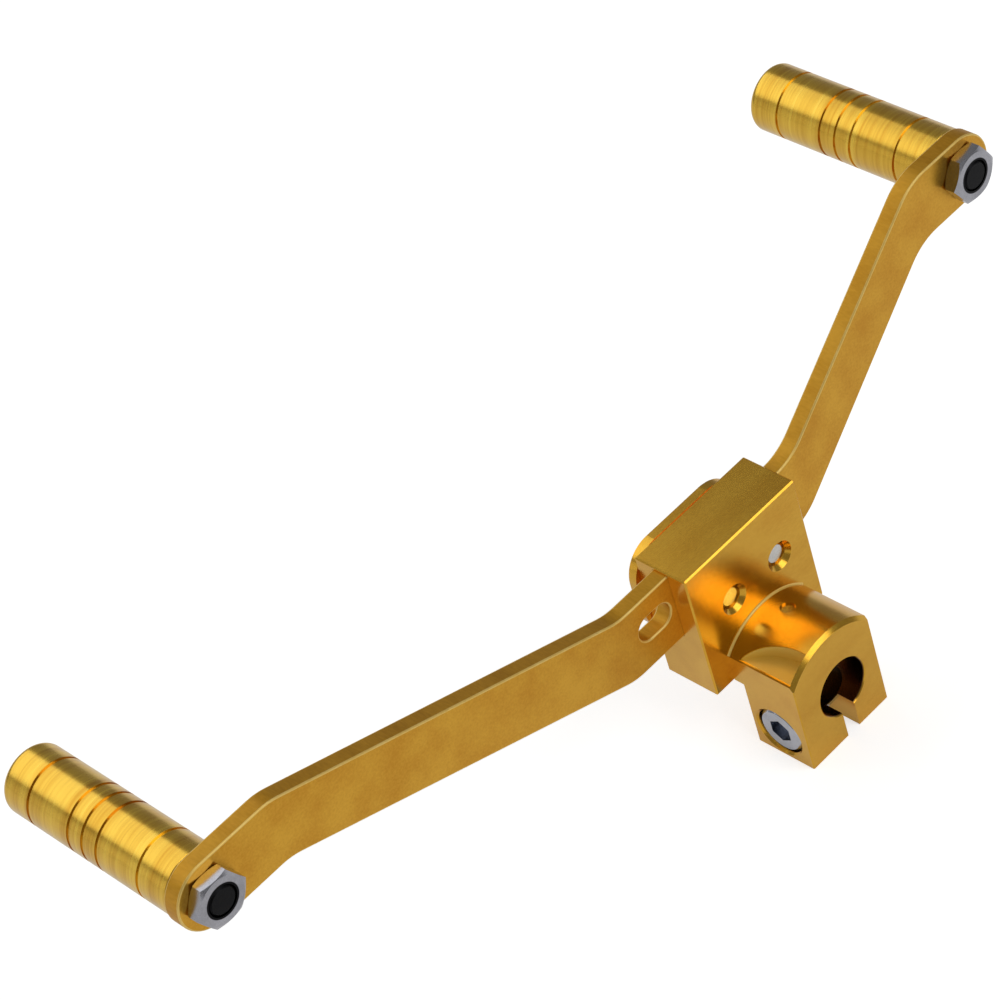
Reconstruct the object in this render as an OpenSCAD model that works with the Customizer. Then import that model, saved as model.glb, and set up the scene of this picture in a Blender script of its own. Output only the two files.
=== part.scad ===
// Heel and toe gear shift lever: a split hub that clamps on the shift shaft,
// two plate arms held in the hub's slot and a turned foot peg at the end of each arm.
// X runs forward to the toe peg, Y outward along the shift shaft, Z up.
// The origin is on the shaft's axis, in the plane of the hub's inner face.

/* [Clamp head] */
// Diameter of the shift shaft bore
bore_d = 15.6; // [12:0.1:18]
// Bevel round the mouth of the bore
bore_bevel = 0.4; // [0:0.1:1]
// Radius of the round head
head_r = 19.2; // [16:0.1:24]
// Length of the head, from its inner face to the block
head_len = 21; // [16:0.5:30]
// Width of the head across its two flats
head_w = 28; // [24:0.1:34]
// Distance of the head's middle behind the shaft's axis
head_shift = 1.1; // [0:0.1:3]
// Depth of the head's flat bottom below the shaft's axis
head_drop = 15.6; // [12:0.1:20]
// Length of the clamp ears along the shaft
ear_len = 18; // [12:0.5:24]
// Width of the clamp slot
split_w = 4.3; // [2:0.1:6]
// Bevel round the inner face of the head
head_bevel = 1; // [0.2:0.1:2]
// Height of the milled shelf above the shaft's axis
shelf_z = 13.5; // [10:0.1:16]
// Depth of the milled shelf, measured in from the flat
shelf_depth = 7.6; // [3:0.1:9]
// Width of the rim left in front of the shelf
shelf_rim = 1; // [0.5:0.1:4]
// Radius of the cutter's path round the shelf
shelf_r = 20; // [14:0.5:30]
// Distance from the inner face to the deepest point of the shelf
shelf_y = 2.3; // [0:0.1:8]
// Width of the index mark drilled in the head
mark_d = 4; // [1:0.1:5]
// Depth of the index mark
mark_depth = 0.6; // [0.2:0.1:1.5]
// Distance of the index mark from the inner face
mark_y = 14.5; // [4:0.5:18]
// Angle of the index mark from the vertical
mark_angle = 7.5; // [-30:0.5:30]

/* [Block] */
// Length of the block, from its rear face to its front face
block_len = 39.9; // [30:0.1:50]
// Distance from the shaft's axis to the block's front face
block_front = 18.5; // [12:0.1:30]
// Height of the block's underside above the shaft's axis
block_z = 4.8; // [2:0.1:12]
// Height of the block
block_h = 39.7; // [30:0.1:50]
// Thickness of the block along the shaft
block_t = 16.6; // [12:0.1:24]
// Bevel along the block's edges
block_bevel = 0.4; // [0.1:0.1:2]

/* [Arms] */
// Thickness of the arm plates
arm_t = 4.8; // [3:0.1:8]
// Depth of the arm plates, measured upright
arm_h = 20.6; // [14:0.1:26]
// Depth of the arm plates at their pegs
arm_end_h = 18.8; // [14:0.1:26]
// Height of the arms' centre line at the hub
arm_hub_z = 33.2; // [28:0.1:40]
// Distance from the block's inner face to the arms
arm_inset = 6; // [4:0.1:8]
// Radius of the bends in the arms' edges
arm_bend_r = 16; // [6:0.5:30]
// Reach of the toe arm, from the shaft to its peg
toe_reach = 98.8; // [80:0.1:140]
// Height of the toe peg above the shaft
toe_rise = 78.7; // [60:0.1:100]
// Where the toe arm starts to climb
toe_climb_from = 24; // [20:0.1:40]
// Where the toe arm levels out
toe_climb_to = 81; // [50:0.1:90]
// Reach of the heel arm, from the shaft to its peg
heel_reach = 162.4; // [120:0.1:200]
// Height of the heel peg above the shaft
heel_rise = 71; // [50:0.1:100]
// Where the heel arm starts to climb
heel_climb_from = 38.6; // [28:0.1:60]
// Where the heel arm levels out
heel_climb_to = 141; // [90:0.1:150]
// Length of the long hole beside the hub
long_hole_len = 11; // [8:0.1:20]
// Width of the long hole beside the hub
long_hole_w = 7; // [5:0.1:9]
// Distance from the shaft to the centre of the long hole
long_hole_x = 28.5; // [24:0.1:32]
// Height of the long hole above the shaft
long_hole_z = 34.2; // [30:0.1:38]

/* [Pegs] */
// Diameter of the foot pegs
peg_d = 17.9; // [14:0.1:24]
// Length of the foot pegs
peg_len = 58.1; // [40:0.1:80]
// Rounding of the free end of a peg
peg_round = 1.8; // [0.5:0.1:4]
// Bevel at the arm end of a peg
peg_bevel = 0.4; // [0.2:0.1:2]
// Width of the grooves turned in a peg
groove_w = 0.9; // [0.4:0.1:3]
// Depth of the grooves turned in a peg
groove_depth = 0.4; // [0.2:0.05:1]
// Spacing of the three middle grooves
groove_step = 5; // [3:0.5:10]
// Distance from the middle of the peg to each outer groove
groove_outer = 19.3; // [12:0.1:26]
// Length of the peg bolt under its head
peg_bolt_len = 55; // [40:1:70]
// Diameter of the peg bolt
peg_bolt_d = 8; // [6:0.5:10]
// Height of the thin hexagon nut
nut_h = 4; // [3:0.1:8]
// Width of the hexagon nut across its flats
nut_w = 13; // [10:0.5:17]

/* [Hub fasteners] */
// Diameter of the pinch bolt
pinch_d = 8; // [6:0.5:8]
// Length of the pinch bolt under its head
pinch_len = 16; // [12:1:25]
// Distance of the pinch bolt from the head's inner face
pinch_y = 9.6; // [7:0.1:14]
// Distance of the pinch bolt below the shaft's axis
pinch_drop = 7.7; // [7:0.1:12]
// Depth of the pinch bolt's head below the flat
pinch_sunk = 0.5; // [0:0.1:3]
// Bevel round the sunk hole of the pinch bolt's head
pinch_mouth = 0.5; // [0.1:0.1:1]
// Diameter of the arm screws
screw_d = 6; // [5:0.5:8]
// Length of the arm screws under their heads
screw_len = 18; // [14:1:25]
// Height of the arm screws above the shaft's axis
screw_z = 27.3; // [24:0.1:32]
// Distance from the shaft to the front arm screw
front_screw_x = 8.3; // [5:0.1:12]
// Distance from the shaft to the rear arm screw
rear_screw_x = 8.4; // [5:0.1:12]
// Width of the bevel round the screw holes in the inner face
screw_hole_mouth = 8.2; // [7:0.1:10]

/* [Back plate] */
// Thickness of the back plate
plate_t = 3; // [2:0.1:5]
// Length of the back plate
plate_len = 37; // [30:0.1:44]
// Distance from the shaft to the back plate's front end
plate_front = 13.9; // [10:0.1:18]
// Height of the back plate
plate_h = 27.4; // [20:0.1:36]
// Height of the back plate's top edge above the shaft
plate_top = 44.4; // [40:0.1:46]
// Corner radius of the back plate
plate_r = 9; // [3:0.1:12]
// Bevel along the outer edge of the back plate
plate_bevel = 0.6; // [0.2:0.1:1]

/* [Hidden] */
$fn = 96;
eps = 0.01;
slide_gap = 0.05;
bolt_gap = 0.2;
head_gap = 0.4;
tongue_gap = 0.5;
shaft_gap = 0.1;

block_y0 = head_len;
block_y1 = head_len + block_t;
block_x0 = block_front - block_len;
block_top = block_z + block_h;
arm_y0 = block_y0 + arm_inset;
arm_y1 = arm_y0 + arm_t;
peg_y1 = arm_y1 + peg_len;
nut_y0 = arm_y0 - nut_h;
plate_y1 = block_y1 + plate_t;
bolt_seat_y = nut_y0 + peg_bolt_len - 0.1;

// Cap screw sizes follow from the thread diameter
peg_head_d = peg_bolt_d * 1.625;
peg_socket_w = peg_bolt_d * 0.75;
pinch_head_d = pinch_d * 1.625;
pinch_socket_w = pinch_d * 0.75;
pinch_head_x = -head_shift - head_w / 2 + pinch_sunk;
pinch_seat_x = pinch_head_x + pinch_d;
screw_head_d = screw_d * 1.75;
screw_head_h = screw_d * 0.55;
screw_socket_w = screw_d * 2 / 3;

// Flat outline in X and Z, made solid from y0 to y1
module prism_y(y0, y1) {
    translate([0, y1, 0]) rotate([90, 0, 0]) linear_extrude(y1 - y0) children();
}

// Half outline in radius and height, turned round an axis that points along Y
module turned_y(x, y, z) {
    translate([x, y, z]) rotate([-90, 0, 0]) rotate_extrude() children();
}

// Half outline in radius and height, turned round an axis that points along X
module turned_x(x, y, z) {
    translate([x, y, z]) rotate([0, 90, 0]) rotate_extrude() children();
}

// Rectangle with bevelled corners
module bevelled_rectangle(w, h, c) {
    polygon([[c, 0], [w - c, 0], [w, c], [w, h - c], [w - c, h], [c, h], [0, h - c], [0, c]]);
}

// Box with bevelled edges
module bevelled_box(size, c) {
    intersection() {
        linear_extrude(size[2]) bevelled_rectangle(size[0], size[1], c);
        translate([0, size[1], 0]) rotate([90, 0, 0]) linear_extrude(size[1])
            bevelled_rectangle(size[0], size[2], c);
        rotate([90, 0, 90]) linear_extrude(size[0]) bevelled_rectangle(size[1], size[2], c);
    }
}

// Head seen along the shaft, from its middle: round above, square below, with two flats
module head_outline() {
    intersection() {
        circle(head_r);
        translate([-head_w / 2, 0]) square([head_w, head_r + 1]);
    }
    translate([-head_w / 2, -head_drop]) square([head_w, head_drop]);
}

// Round head with its clamp ears, bevelled round the inner face
module clamp_head() {
    b = head_bevel;
    hw = head_w / 2;
    intersection() {
        prism_y(0, head_len + eps) head_outline();
        translate([0, 0, -head_drop - 1]) linear_extrude(head_r + head_drop + 2)
            polygon([[-hw + b / 4, 0], [hw - b / 4, 0], [hw, b / 4], [hw, head_len + 1],
                     [-hw, head_len + 1], [-hw, b / 4]]);
        union() {
            turned_y(0, 0, 0) polygon([[0, 0], [head_r - b, 0], [head_r, b],
                                       [head_r, head_len + 1], [0, head_len + 1]]);
            translate([-hw - 1, 0, -head_drop - 1])
                cube([head_w + 2, head_len + 1, head_drop + 1 + shelf_z / 2]);
        }
        union() {
            translate([-hw - 1, 0, -head_drop - 1])
                cube([head_w + 2, ear_len, head_drop + head_r + 2]);
            translate([-hw - 1, 0, block_z]) cube([head_w + 2, head_len + 1, head_r]);
        }
    }
}

// Shelf milled in the rear side of the head, above the pinch bolt
module shelf_cut() {
    inner_x = -head_w / 2 + shelf_depth;
    translate([0, 0, shelf_z]) linear_extrude(head_r) intersection() {
        translate([inner_x - shelf_r, shelf_y]) circle(shelf_r);
        translate([-head_r, shelf_rim]) square([2 * head_r, 2 * shelf_r]);
    }
}

// Bore for the shift shaft, with a small bevel at each mouth
module shaft_bore() {
    r = bore_d / 2;
    turned_y(0, 0, 0) polygon([[0, -1], [r + bore_bevel + 1, -1], [r, bore_bevel],
                               [r, ear_len - bore_bevel], [r + bore_bevel + 1, ear_len + 1],
                               [r + bore_bevel + 1, head_len + block_t + 1],
                               [0, head_len + block_t + 1]]);
}

// Holes for the pinch bolt: sunk head, clearance in one ear, thread in the other
module pinch_holes() {
    sink_r = pinch_head_d / 2 + head_gap;
    flat_x = -head_shift - head_w / 2;
    turned_x(0, pinch_y, -pinch_drop) polygon([
        [0, flat_x - 1], [sink_r + pinch_mouth + 1, flat_x - 1], [sink_r, flat_x + pinch_mouth],
        [sink_r, pinch_seat_x], [pinch_d / 2 + bolt_gap, pinch_seat_x],
        [pinch_d / 2 + bolt_gap, 0], [pinch_d / 2, 0], [pinch_d / 2, head_w / 2 + 1],
        [0, head_w / 2 + 1]]);
}

// Hole through the block for an arm screw, bevelled at the inner face
module screw_hole(x) {
    mouth = screw_hole_mouth / 2;
    r = screw_d / 2;
    turned_y(x, block_y0, screw_z) polygon([
        [0, -1], [mouth + 1, -1], [mouth, 0], [r, mouth - r], [r, arm_inset + arm_t / 2],
        [r + bolt_gap, arm_inset + arm_t / 2], [r + bolt_gap, block_t + 1], [0, block_t + 1]]);
}

// Shallow index mark on top of the head
module index_mark() {
    rotate([0, mark_angle, 0]) translate([0, mark_y, head_r - mark_depth])
        cylinder(h = mark_depth + 1, d = mark_d);
}

// Block and clamp head, milled from one piece
module hub() {
    color("goldenrod") difference() {
        union() {
            translate([block_x0, block_y0, block_z])
                bevelled_box([block_len, block_t, block_h], block_bevel);
            translate([-head_shift, 0, 0]) clamp_head();
        }
        shaft_bore();
        translate([-split_w / 2, -1, -head_drop - 1]) cube([split_w, head_len + 2, head_drop + 1]);
        translate([-head_shift, 0, 0]) shelf_cut();
        pinch_holes();
        translate([-head_shift, 0, 0]) index_mark();
        translate([block_x0 - 1, arm_y0 - slide_gap, arm_hub_z - arm_h / 2 - slide_gap])
            cube([block_len + 2, arm_t + 2 * slide_gap, arm_h + 2 * slide_gap]);
        screw_hole(front_screw_x);
        screw_hole(-rear_screw_x);
    }
}

// Sliver between a bend's sharp corner and its round edge of radius r. side is 1 where
// the edge turns upward and -1 where it levels out.
module bend_sliver(x, z, r, climb, side) {
    t = r * tan(climb / 2);
    level = [side * t, 0];
    slope = [side * t * cos(climb), side * t * sin(climb)];
    translate([x, z]) difference() {
        polygon([slope, -level, [0, -side]]);
        translate([-level[0], side * r]) circle(r);
    }
}

// Side view of an arm that climbs away from the hub, narrower and round at its free end
module arm_outline(inner_x, x1, x2, end_x, end_z) {
    h = arm_h / 2;
    end_h = arm_end_h / 2;
    top_climb = atan2(end_z + end_h - arm_hub_z - h, x2 - x1);
    low_climb = atan2(end_z - end_h - arm_hub_z + h, x2 - x1);
    difference() {
        union() {
            polygon([[inner_x, arm_hub_z - h], [x1, arm_hub_z - h], [x2, end_z - end_h],
                     [end_x, end_z - end_h], [end_x, end_z + end_h], [x2, end_z + end_h],
                     [x1, arm_hub_z + h], [inner_x, arm_hub_z + h]]);
            translate([end_x, end_z]) circle(end_h);
            bend_sliver(x1, arm_hub_z + h, arm_bend_r, top_climb, 1);
            bend_sliver(x2, end_z - end_h, arm_bend_r, low_climb, -1);
        }
        bend_sliver(x1, arm_hub_z - h, arm_bend_r, low_climb, 1);
        bend_sliver(x2, end_z + end_h, arm_bend_r, top_climb, -1);
        translate([end_x, end_z]) circle(d = peg_bolt_d + 2 * bolt_gap);
    }
}

// Open notch that drops over an arm screw
module screw_notch(x) {
    w = screw_d + 2 * bolt_gap;
    translate([x, screw_z]) circle(d = w);
    translate([x - w / 2, arm_hub_z - arm_h / 2 - 1]) square([w, screw_z - arm_hub_z + arm_h / 2 + 1]);
}

// Short front arm
module toe_arm() {
    color("goldenrod") prism_y(arm_y0, arm_y1) difference() {
        arm_outline(block_x0 + block_len / 2 + tongue_gap / 2, toe_climb_from, toe_climb_to,
                    toe_reach, toe_rise);
        screw_notch(front_screw_x);
    }
}

// Long rear arm, with a long hole beside the hub
module heel_arm() {
    color("goldenrod") prism_y(arm_y0, arm_y1) difference() {
        mirror([1, 0]) arm_outline(-(block_x0 + block_len / 2) + tongue_gap / 2, heel_climb_from,
                                   heel_climb_to, heel_reach, heel_rise);
        screw_notch(-rear_screw_x);
        for (side = [-1, 1])
            translate([-long_hole_x + side * (long_hole_len - long_hole_w) / 2, long_hole_z])
                circle(d = long_hole_w);
        translate([-long_hole_x - (long_hole_len - long_hole_w) / 2, long_hole_z - long_hole_w / 2])
            square([long_hole_len - long_hole_w, long_hole_w]);
    }
}

// Rounded rectangle of the back plate, drawn smaller by inset
module plate_outline(inset) {
    r = plate_r - inset;
    x0 = plate_front - plate_len + inset;
    z0 = plate_top - plate_h + inset;
    w = plate_len - 2 * inset;
    h = plate_h - 2 * inset;
    translate([x0 + r, z0]) square([w - 2 * r, h]);
    translate([x0, z0 + r]) square([w, h - 2 * r]);
    for (x = [x0 + r, x0 + w - r], z = [z0 + r, z0 + h - r]) translate([x, z]) circle(r);
}

// Plate on the outer side of the block, under the heads of the arm screws
module back_plate() {
    color("goldenrod") difference() {
        union() {
            prism_y(block_y1, plate_y1 - plate_bevel) plate_outline(0);
            prism_y(block_y1, plate_y1) plate_outline(plate_bevel);
        }
        for (x = [front_screw_x, -rear_screw_x])
            turned_y(x, block_y1 - 1, screw_z) square([screw_d / 2 + bolt_gap, plate_t + 2]);
    }
}

// Button head screw from the back plate to the inner face of the block
module arm_screw(x) {
    r = screw_d / 2;
    color("silver") difference() {
        turned_y(x, plate_y1, screw_z) polygon([
            [0, -screw_len], [r - 0.6, -screw_len], [r, -screw_len + 0.6], [r, 0],
            [screw_head_d / 2, 0], [screw_head_d / 2, screw_head_h * 0.35],
            [screw_head_d / 2 - 1.2, screw_head_h * 0.8],
            [screw_head_d / 2 - 2.2, screw_head_h], [0, screw_head_h]]);
        translate([x, plate_y1 + screw_head_h + 1, screw_z]) rotate([90, 0, 0])
            cylinder(h = screw_head_h * 0.6 + 1, d = screw_socket_w / cos(30), $fn = 6);
    }
}

module front_arm_screw() {
    arm_screw(front_screw_x);
}

module rear_arm_screw() {
    arm_screw(-rear_screw_x);
}

// Socket head cap screw that closes the clamp slot, relieved where it crosses the bore
module pinch_bolt() {
    r = pinch_d / 2;
    hr = pinch_head_d / 2;
    color("silver") difference() {
        turned_x(0, pinch_y, -pinch_drop) polygon([
            [0, pinch_head_x], [hr - 0.6, pinch_head_x], [hr, pinch_head_x + 0.6],
            [hr, pinch_seat_x], [r, pinch_seat_x], [r, pinch_seat_x + pinch_len - 0.8],
            [r - 0.8, pinch_seat_x + pinch_len], [0, pinch_seat_x + pinch_len]]);
        translate([pinch_head_x - 1, pinch_y, -pinch_drop]) rotate([0, 90, 0])
            cylinder(h = pinch_d / 2 + 1, d = pinch_socket_w / cos(30), $fn = 6);
        turned_y(0, 0, 0) square([bore_d / 2 + shaft_gap, ear_len]);
    }
}

// Turned foot peg with five grooves, rounded at its free end
module peg(x, z) {
    r = peg_d / 2;
    mid = peg_len / 2;
    grooves = [mid - groove_outer, mid - groove_step, mid, mid + groove_step, mid + groove_outer];
    bore_r = peg_bolt_d / 2 + bolt_gap;
    color("goldenrod") turned_y(x, arm_y1, z) difference() {
        translate([bore_r, 0]) square([r - bore_r, peg_len]);
        translate([r - peg_round, peg_len - peg_round]) difference() {
            square([peg_round + 1, peg_round + 1]);
            circle(peg_round);
        }
        polygon([[r - peg_bevel, -eps], [r + 1, -eps], [r + 1, peg_bevel + 1], [r, peg_bevel]]);
        translate([0, bolt_seat_y - arm_y1]) square([peg_head_d / 2 + head_gap, peg_len]);
        for (y = grooves) translate([r - groove_depth, y - groove_w / 2]) square([1, groove_w]);
    }
}

module toe_peg() {
    peg(toe_reach, toe_rise);
}

module heel_peg() {
    peg(-heel_reach, heel_rise);
}

// Socket head cap screw that holds a peg, its head sunk in the peg's free end
module peg_bolt(x, z) {
    r = peg_bolt_d / 2;
    hr = peg_head_d / 2;
    color("dimgray") difference() {
        turned_y(x, bolt_seat_y, z) polygon([
            [0, -peg_bolt_len], [r - 0.7, -peg_bolt_len], [r, -peg_bolt_len + 0.7], [r, 0],
            [hr, 0], [hr, peg_bolt_d - 0.6], [hr - 0.6, peg_bolt_d], [0, peg_bolt_d]]);
        translate([x, bolt_seat_y + peg_bolt_d + 1, z]) rotate([90, 0, 0])
            cylinder(h = peg_bolt_d / 2 + 1, d = peg_socket_w / cos(30), $fn = 6);
    }
}

module toe_peg_bolt() {
    peg_bolt(toe_reach, toe_rise);
}

module heel_peg_bolt() {
    peg_bolt(-heel_reach, heel_rise);
}

// Thin hexagon nut, bevelled on both faces
module peg_nut(x, z) {
    corner_r = nut_w / 2 / cos(30);
    c = corner_r - nut_w / 2;
    color("gainsboro") difference() {
        intersection() {
            translate([x, arm_y0, z]) rotate([90, 0, 0]) cylinder(h = nut_h, r = corner_r, $fn = 6);
            turned_y(x, nut_y0, z) polygon([
                [0, 0], [nut_w / 2 - 0.2, 0], [corner_r + 0.1, c * 0.7], [corner_r + 0.1, nut_h - c * 0.7],
                [nut_w / 2 - 0.2, nut_h], [0, nut_h]]);
        }
        turned_y(x, nut_y0 - 1, z) square([peg_bolt_d / 2 + slide_gap, nut_h + 2]);
    }
}

module toe_peg_nut() {
    peg_nut(toe_reach, toe_rise);
}

module heel_peg_nut() {
    peg_nut(-heel_reach, heel_rise);
}

hub();
toe_arm();
heel_arm();
back_plate();
front_arm_screw();
rear_arm_screw();
pinch_bolt();
toe_peg();
heel_peg();
toe_peg_bolt();
heel_peg_bolt();
toe_peg_nut();
heel_peg_nut();
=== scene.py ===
import math

import bmesh
import bpy
from mathutils import Matrix, Vector


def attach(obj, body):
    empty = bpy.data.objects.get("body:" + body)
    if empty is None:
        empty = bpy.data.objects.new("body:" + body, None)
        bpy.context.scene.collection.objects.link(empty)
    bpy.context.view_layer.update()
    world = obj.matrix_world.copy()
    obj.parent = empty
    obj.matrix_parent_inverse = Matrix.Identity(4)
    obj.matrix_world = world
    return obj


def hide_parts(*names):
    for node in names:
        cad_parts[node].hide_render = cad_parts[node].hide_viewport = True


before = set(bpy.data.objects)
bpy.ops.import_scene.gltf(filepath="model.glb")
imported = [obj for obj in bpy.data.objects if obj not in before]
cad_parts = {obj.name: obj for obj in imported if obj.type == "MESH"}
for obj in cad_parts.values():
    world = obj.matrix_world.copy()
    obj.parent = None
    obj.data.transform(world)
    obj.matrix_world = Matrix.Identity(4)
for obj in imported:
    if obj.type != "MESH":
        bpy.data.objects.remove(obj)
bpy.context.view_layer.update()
MM = 0.001

# Places and sizes from the part's source, in millimetres
HEAD_CENTRE_X = -1.1
HEAD_R = 19.2
BLOCK_INNER_Y = 21.0
SHAFT_AXIS = (0, 0)
PEG_BOLTS = {"toe_peg": (98.8, 78.7), "heel_peg": (-162.4, 71.0)}
# The head's flat bottom stands on the floor
FLOOR_LEVEL = -15.6

# Radii, seen along Y, inside which the metal is painted dark as shade: just over the
# bore and the pinch bolt's relief, for painted shade inside the bore. On the nuts it is 0.5
# mm
# wider than their plain holes: a ring of painted shade for the shaded bevel that they lack.
BORE_SHADE_R = 7.9
PINCH_SHADE_R = 8.2
NUT_SHADE_R = 4.55
SHADE_EDGE = 0.15

# The milled shelf, painted brighter as a highlight: inside the head's round skin and between
# these limits
HEAD_SKIN = {"Inner": 18.85, "Outer": 19.0}
SHELF_LIMITS = (("X", "LESS_THAN", -7.0), ("Y", "GREATER_THAN", 0.9),
                ("Y", "LESS_THAN", 20.9), ("Z", "GREATER_THAN", 13.3))

# Fillet between head and block, which ends just inside the head's two flats
FILLET_SIZE = 0.5
FILLET_HALF_WIDTH = 13.9

# Broken edges of the arms
ARM_EDGE = 0.45
ARM_EDGE_ANGLE = math.radians(40)
SAME_POINT = 0.002
SAME_PLANE = math.radians(0.3)

# The Mix node has sockets of one name for each kind of data: these are the colour ones
MIX_LOW, MIX_HIGH, MIX_RESULT = 6, 7, 2

# Grain: shares of fine marks and broad patches, and the tones that become the two colours
FINE_SHARE, PATCH_SHARE = 0.45, 0.55
TONE_LOW, TONE_HIGH = 0.35, 0.65
COAT_ROUGHNESS = 0.22
EVEN = (1, 1, 1)

# Camera fitted to the photo
CAMERA_PLACE = (-0.3990, -0.4987, 0.6660)
CAMERA_LENS = 136.2
# Point near the middle of the lever that all lamps face
LAMP_AIM = (-0.03, 0.03, 0.03)


# Links a node's output to an input, or sets a plain value
def feed(tree, socket, value):
    if isinstance(value, bpy.types.NodeSocket):
        tree.links.new(value, socket)
    else:
        socket.default_value = value


def math_node(tree, kind, a, b):
    node = tree.nodes.new("ShaderNodeMath")
    node.operation = kind
    feed(tree, node.inputs[0], a)
    feed(tree, node.inputs[1], b)
    return node.outputs[0]


def noise_node(tree, vector, scale, detail):
    node = tree.nodes.new("ShaderNodeTexNoise")
    feed(tree, node.inputs["Vector"], vector)
    feed(tree, node.inputs["Scale"], scale)
    node.inputs["Detail"].default_value = detail
    return node.outputs["Fac"]


# Maps low to 0 and high to 1, and cuts off what lies outside
def ramp_node(tree, value, low, high):
    node = tree.nodes.new("ShaderNodeMapRange")
    feed(tree, node.inputs["Value"], value)
    feed(tree, node.inputs["From Min"], low)
    feed(tree, node.inputs["From Max"], high)
    return node.outputs["Result"]


def blend_colours(tree, mask, low, high):
    node = tree.nodes.new("ShaderNodeMix")
    node.data_type = "RGBA"
    tree.links.new(mask, node.inputs["Factor"])
    for index, colour in ((MIX_LOW, low), (MIX_HIGH, high)):
        plain = not isinstance(colour, bpy.types.NodeSocket)
        feed(tree, node.inputs[index], (*colour, 1) if plain else colour)
    return node.outputs[MIX_RESULT]


# Object coordinates in millimetres, moved and stretched for one finish
def surface_places(tree, stretch=EVEN, centre=(0, 0, 0)):
    coords = tree.nodes.new("ShaderNodeTexCoord")
    mapping = tree.nodes.new("ShaderNodeMapping")
    mapping.inputs["Scale"].default_value = [s / MM for s in stretch]
    mapping.inputs["Location"].default_value = [-c * s for c, s in zip(centre, stretch)]
    tree.links.new(coords.outputs["Object"], mapping.inputs["Vector"])
    return mapping.outputs["Vector"]


def new_group(name, inputs, outputs):
    group = bpy.data.node_groups.new(name, "ShaderNodeTree")
    for label, kind, value in inputs:
        socket = group.interface.new_socket(label, in_out="INPUT", socket_type=kind)
        if value is not None:
            socket.default_value = value
    for label in outputs:
        group.interface.new_socket(label, in_out="OUTPUT", socket_type="NodeSocketFloat")
    ins = group.nodes.new("NodeGroupInput").outputs
    outs = group.nodes.new("NodeGroupOutput").inputs
    return group, ins, outs


# Shared grain: fine marks for bump and roughness, broad patches for tone
def make_grain_group():
    group, ins, outs = new_group("surface_grain", (
        ("Places", "NodeSocketVector", None),
        ("Fine Scale", "NodeSocketFloat", 6.0),
        ("Patch Scale", "NodeSocketFloat", 0.15),
        ("Roughness", "NodeSocketFloat", 0.3),
        ("Roughness Spread", "NodeSocketFloat", 0.1),
    ), ("Tone", "Roughness", "Height"))
    fine = noise_node(group, ins["Places"], ins["Fine Scale"], 3)
    patch = noise_node(group, ins["Places"], ins["Patch Scale"], 2)
    tone = math_node(group, "ADD", math_node(group, "MULTIPLY", fine, FINE_SHARE),
                     math_node(group, "MULTIPLY", patch, PATCH_SHARE))
    swing = math_node(group, "MULTIPLY", math_node(group, "SUBTRACT", tone, 0.5),
                      ins["Roughness Spread"])
    feed(group, outs["Tone"], tone)
    feed(group, outs["Roughness"], math_node(group, "ADD", swing, ins["Roughness"]))
    feed(group, outs["Height"], fine)
    return group


# Shared round mask: 0 within the inner radius, 1 from the outer radius on
def make_round_group():
    group, ins, outs = new_group("round_mask", (
        ("Places", "NodeSocketVector", None),
        ("Inner", "NodeSocketFloat", None),
        ("Outer", "NodeSocketFloat", None),
    ), ("Mask",))
    reach = group.nodes.new("ShaderNodeVectorMath")
    reach.operation = "LENGTH"
    feed(group, reach.inputs[0], ins["Places"])
    mask = ramp_node(group, reach.outputs["Value"], ins["Inner"], ins["Outer"])
    feed(group, outs["Mask"], mask)
    return group


def place_group(tree, group, places, values):
    node = tree.nodes.new("ShaderNodeGroup")
    node.node_tree = group
    tree.links.new(places, node.inputs["Places"])
    for name, value in values.items():
        node.inputs[name].default_value = value
    return node.outputs


def bump_normal(tree, shader, height, depth_mm, strength):
    bump = tree.nodes.new("ShaderNodeBump")
    bump.inputs["Strength"].default_value = strength
    bump.inputs["Distance"].default_value = depth_mm * MM
    tree.links.new(height, bump.inputs["Height"])
    tree.links.new(bump.outputs["Normal"], shader.inputs["Normal"])


def new_material(name, metallic):
    mat = bpy.data.materials.new(name)
    mat.use_nodes = True
    shader = mat.node_tree.nodes["Principled BSDF"]
    shader.inputs["Metallic"].default_value = metallic
    return mat, mat.node_tree, shader


def grain_values(fine, roughness, spread, patch=0.15):
    return {"Fine Scale": fine, "Patch Scale": patch,
            "Roughness": roughness, "Roughness Spread": spread}


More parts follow.
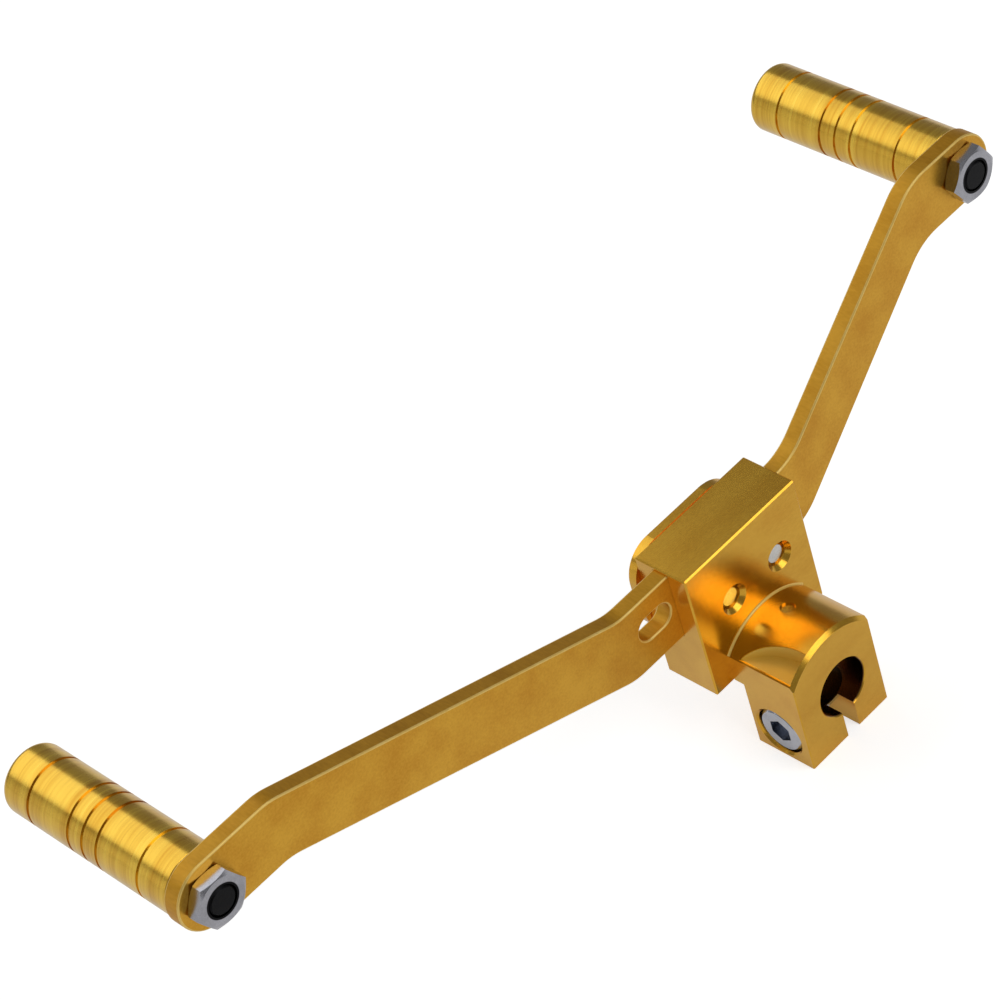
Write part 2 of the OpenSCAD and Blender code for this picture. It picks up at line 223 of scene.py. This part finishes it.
# Metal with a grain: two tones, roughness and bump all come from the shared group.
# bump is a depth in millimetres and a strength.
# The argument before last is a place, a radius and a tone of painted shade for what lies
# inside it, seen along Y.
# The last argument is a function that makes a mask, the tone of painted highlight under the
# mask and the roughness it adds.
def grained_metal(name, tones, stretch, values, bump, metallic=1.0, coat=0.0,
                  painted_shade_round=None, roughness_and_painted_highlight=None):
    mat, tree, shader = new_material(name, metallic)
    shader.inputs["Coat Weight"].default_value = coat
    shader.inputs["Coat Roughness"].default_value = COAT_ROUGHNESS
    grain = place_group(tree, GRAIN, surface_places(tree, stretch), values)
    colour = blend_colours(tree, ramp_node(tree, grain["Tone"], TONE_LOW, TONE_HIGH), *tones)
    # Painted shade: inside the round, seen along Y, the colour turns to the dark tone
    if painted_shade_round:
        centre, radius, tone = painted_shade_round
        places = surface_places(tree, (1, 0, 1), (centre[0], 0, centre[1]))
        radii = {"Inner": radius, "Outer": radius + SHADE_EDGE}
        outside = place_group(tree, ROUND, places, radii)["Mask"]
        colour = blend_colours(tree, outside, tone, colour)
    roughness = grain["Roughness"]
    # Painted highlight: a brighter tone under the mask; the roughness it adds is real
    if roughness_and_painted_highlight:
        make_mask, tone, extra = roughness_and_painted_highlight
        mask = make_mask(tree)
        colour = blend_colours(tree, mask, colour, tone)
        rougher = math_node(tree, "MULTIPLY", mask, extra)
        roughness = math_node(tree, "ADD", roughness, rougher)
    tree.links.new(colour, shader.inputs["Base Color"])
    tree.links.new(roughness, shader.inputs["Roughness"])
    bump_normal(tree, shader, grain["Height"], *bump)
    return mat


# 1 on the milled shelf behind the head's rim, 0 elsewhere
def shelf_mask(tree):
    round_places = surface_places(tree, (1, 0, 1), (HEAD_CENTRE_X, 0, 0))
    outside = place_group(tree, ROUND, round_places, HEAD_SKIN)["Mask"]
    split = tree.nodes.new("ShaderNodeSeparateXYZ")
    tree.links.new(surface_places(tree), split.inputs["Vector"])
    mask = math_node(tree, "SUBTRACT", 1.0, outside)
    for axis, kind, limit in SHELF_LIMITS:
        within = math_node(tree, kind, split.outputs[axis], limit)
        mask = math_node(tree, "MULTIPLY", mask, within)
    return mask


def finish_nodes(mat, *names):
    for name in names:
        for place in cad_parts[name].material_slots:
            place.material = mat


# New object in the scene, shaded smooth
def add_piece(name, mesh):
    for face in mesh.polygons:
        face.use_smooth = True
    piece = bpy.data.objects.new(name, mesh)
    bpy.context.scene.collection.objects.link(piece)
    return piece


# Arm with its sawn edges broken, so that they catch the light; the bevels' paler tone is a
# painted highlight
def break_arm_edges(node, face_finish, edge_finish_and_highlight, rim_finish):
    shape = bmesh.new()
    shape.from_mesh(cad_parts[node].data)
    bmesh.ops.remove_doubles(shape, verts=shape.verts, dist=SAME_POINT * MM)
    bmesh.ops.dissolve_limit(shape, angle_limit=SAME_PLANE,
                             verts=shape.verts, edges=shape.edges)
    mesh = bpy.data.meshes.new(node + "_plate")
    shape.to_mesh(mesh)
    shape.free()
    face_index, edge_index, rim_index = 0, 1, 2
    for finish in (face_finish, edge_finish_and_highlight, rim_finish):
        mesh.materials.append(finish)
    for face in mesh.polygons:
        flat = abs(face.normal.y) > 0.5
        face.material_index = face_index if flat else rim_index
    piece = add_piece(node + "_plate", mesh)
    bevel = piece.modifiers.new("edges", "BEVEL")
    bevel.width = ARM_EDGE * MM
    bevel.segments = 2
    bevel.limit_method = "ANGLE"
    bevel.angle_limit = ARM_EDGE_ANGLE
    bevel.loop_slide = False
    bevel.material = edge_index
    weigh = piece.modifiers.new("normals", "WEIGHTED_NORMAL")
    weigh.weight = 100
    seen = piece.evaluated_get(bpy.context.evaluated_depsgraph_get())
    finished = bpy.data.meshes.new_from_object(seen)
    piece.modifiers.clear()
    piece.data = finished
    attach(piece, "root")
    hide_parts(node)


# Small round fillet where the head meets the block, over the top of the head; its pale tone
# is a painted highlight
def add_head_fillet(finish):
    reach = math.asin(FILLET_HALF_WIDTH / HEAD_R)
    steps, rings = 48, 5
    points, faces = [], []
    for i in range(steps + 1):
        around = -reach + 2 * reach * i / steps
        for j in range(rings + 1):
            turn = math.pi / 2 * j / rings
            r = HEAD_R + FILLET_SIZE * (1 - math.sin(turn))
            y = BLOCK_INNER_Y - FILLET_SIZE * (1 - math.cos(turn))
            points.append(((HEAD_CENTRE_X + r * math.sin(around)) * MM, y * MM,
                           r * math.cos(around) * MM))
    for i in range(steps):
        for j in range(rings):
            k = i * (rings + 1) + j
            faces.append((k, k + 1, k + rings + 2, k + rings + 1))
    mesh = bpy.data.meshes.new("head_fillet")
    mesh.from_pydata(points, [], faces)
    mesh.materials.append(finish)
    piece = add_piece("head_fillet", mesh)
    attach(piece, "root")


# Camera at the photograph's place, aimed from the inner side and above
def add_camera():
    data = bpy.data.cameras.new("camera")
    data.sensor_width = 36
    data.lens = CAMERA_LENS
    data.clip_start, data.clip_end = 0.05, 20
    cam = bpy.data.objects.new("camera", data)
    right = Vector((0.6789, -0.6945, -0.2382))
    up = Vector((0.6134, 0.3582, 0.7039))
    back = Vector((-0.4035, -0.6240, 0.6692))
    turn = Matrix((right, up, back)).transposed().to_4x4()
    cam.matrix_world = Matrix.Translation(CAMERA_PLACE) @ turn
    bpy.context.scene.collection.objects.link(cam)
    bpy.context.scene.camera = cam


# Soft lamp that faces the lever, as bright in a mirror as its glow
def add_softbox(name, place, size, glow, colour=(1, 1, 1)):
    data = bpy.data.lights.new(name, "AREA")
    data.shape = "RECTANGLE"
    data.size, data.size_y = size
    data.energy = glow * math.pi * size[0] * size[1]
    data.color = colour
    lamp = bpy.data.objects.new(name, data)
    lamp.location = place
    aim = Vector(LAMP_AIM) - Vector(place)
    lamp.rotation_euler = aim.to_track_quat("-Z", "Y").to_euler()
    bpy.context.scene.collection.objects.link(lamp)


# Pale floor: its own light makes up what the lamps leave short of white, so the shadow stays
def add_floor(height, seen_glow, mirrored_glow):
    reach = 6.0
    mesh = bpy.data.meshes.new("floor")
    corners = [(-reach, -reach), (reach, -reach), (reach, reach), (-reach, reach)]
    mesh.from_pydata([(x, y, height) for x, y in corners], [], [(0, 1, 2, 3)])
    floor = bpy.data.objects.new("floor", mesh)
    bpy.context.scene.collection.objects.link(floor)
    mat, tree, shader = new_material("pale_floor", 0.0)
    shader.inputs["Base Color"].default_value = (0.85, 0.85, 0.85, 1)
    shader.inputs["Roughness"].default_value = 1.0
    shader.inputs["Specular IOR Level"].default_value = 0.0
    shader.inputs["Emission Color"].default_value = (1, 1, 1, 1)
    path = tree.nodes.new("ShaderNodeLightPath")
    seen = math_node(tree, "MULTIPLY", path.outputs["Is Camera Ray"], seen_glow)
    mirrored = math_node(tree, "MULTIPLY", path.outputs["Is Glossy Ray"], mirrored_glow)
    glow = math_node(tree, "ADD", seen, mirrored)
    tree.links.new(glow, shader.inputs["Emission Strength"])
    mesh.materials.append(mat)


def set_world(level):
    world = bpy.data.worlds.new("studio")
    world.use_nodes = True
    ground = world.node_tree.nodes["Background"]
    ground.inputs["Color"].default_value = (1, 1, 1, 1)
    ground.inputs["Strength"].default_value = level
    bpy.context.scene.world = world


bpy.context.scene.view_settings.view_transform = "Standard"
add_camera()
set_world(0.23)
add_softbox("back_softbox", place=(-0.26, 1.25, 1.15), size=(2.0, 1.0), glow=1.12,
            colour=(0.97, 0.98, 1.0))
add_softbox("front_softbox", place=(0.30, -0.93, 1.12), size=(1.1, 0.9), glow=2.0)
add_softbox("left_softbox", place=(-1.7, 0.85, 0.42), size=(1.1, 0.7), glow=0.55)
add_floor(FLOOR_LEVEL * MM, seen_glow=0.64, mirrored_glow=0.20)

GRAIN = make_grain_group()
ROUND = make_round_group()
satin_gold = grained_metal(
    "satin_gold", ((0.66, 0.305, 0.016), (0.82, 0.450, 0.040)), EVEN,
    grain_values(fine=1.6, patch=0.10, roughness=0.34, spread=0.20),
    bump=(0.012, 0.25), coat=0.2)
sawn_gold = grained_metal(
    "sawn_gold", ((0.60, 0.290, 0.016), (0.76, 0.410, 0.036)), (1, 0.25, 1),
    grain_values(fine=1.8, patch=0.12, roughness=0.52, spread=0.15),
    bump=(0.015, 0.3), coat=0.15)
milled_gold = grained_metal(
    "milled_gold", ((0.72, 0.365, 0.022), (0.82, 0.465, 0.042)), (0.35, 1, 1),
    grain_values(fine=2.4, roughness=0.22, spread=0.10),
    bump=(0.006, 0.12), coat=0.35,
    # painted shade inside the bore
    painted_shade_round=(SHAFT_AXIS, BORE_SHADE_R, (0.15, 0.065, 0.012)),
    # painted highlight on the milled shelf, which is also rougher
    roughness_and_painted_highlight=(shelf_mask, (1.0, 0.74, 0.21), 0.30))
turned_gold = grained_metal(
    "turned_gold", ((0.64, 0.330, 0.014), (0.92, 0.600, 0.065)), (0.03, 1.0, 0.03),
    grain_values(fine=1.5, patch=0.30, roughness=0.25, spread=0.20),
    bump=(0.020, 0.45), coat=0.5)
# Broken edges and the head's fillet are real shapes; their paler, brighter tone than the
# gold faces is a painted highlight
gold_edge_painted_highlight = grained_metal(
    "gold_edge_painted_highlight", ((0.95, 0.62, 0.14), (1.0, 0.72, 0.22)), EVEN,
    grain_values(fine=2.0, roughness=0.40, spread=0.1),
    bump=(0.01, 0.2), metallic=0.6)
STEEL_GRAIN = grain_values(fine=2.5, roughness=0.20, spread=0.2)
screw_steel = grained_metal(
    "screw_steel", ((0.62, 0.62, 0.60), (0.84, 0.84, 0.82)), EVEN, STEEL_GRAIN,
    bump=(0.015, 0.3))
bolt_steel = grained_metal(
    "bolt_steel", ((0.46, 0.49, 0.56), (0.62, 0.65, 0.73)), EVEN, STEEL_GRAIN,
    # painted shade on the pinch bolt where its relief shows in the bore
    bump=(0.015, 0.3), painted_shade_round=(SHAFT_AXIS, PINCH_SHADE_R, (0.020, 0.012, 0.006)))
black_steel = grained_metal(
    "black_steel", ((0.004, 0.004, 0.005), (0.010, 0.010, 0.011)), EVEN,
    grain_values(fine=3.0, roughness=0.42, spread=0.2),
    bump=(0.05, 0.5), metallic=0.9)

finish_nodes(milled_gold, "hub", "back_plate")
finish_nodes(turned_gold, "toe_peg", "heel_peg")
finish_nodes(screw_steel, "front_arm_screw", "rear_arm_screw")
finish_nodes(bolt_steel, "pinch_bolt")
for peg, centre in PEG_BOLTS.items():
    nut_steel = grained_metal(
        peg + "_nut_steel", ((0.36, 0.36, 0.39), (0.50, 0.50, 0.54)), EVEN, STEEL_GRAIN,
        # a ring of painted shade round the nut's hole
        bump=(0.02, 0.3), painted_shade_round=(centre, NUT_SHADE_R, (0.006, 0.006, 0.007)))
    finish_nodes(nut_steel, peg + "_nut")
finish_nodes(black_steel, "toe_peg_bolt", "heel_peg_bolt")
for arm in ("toe_arm", "heel_arm"):
    break_arm_edges(arm, satin_gold, gold_edge_painted_highlight, sawn_gold)
add_head_fillet(gold_edge_painted_highlight)
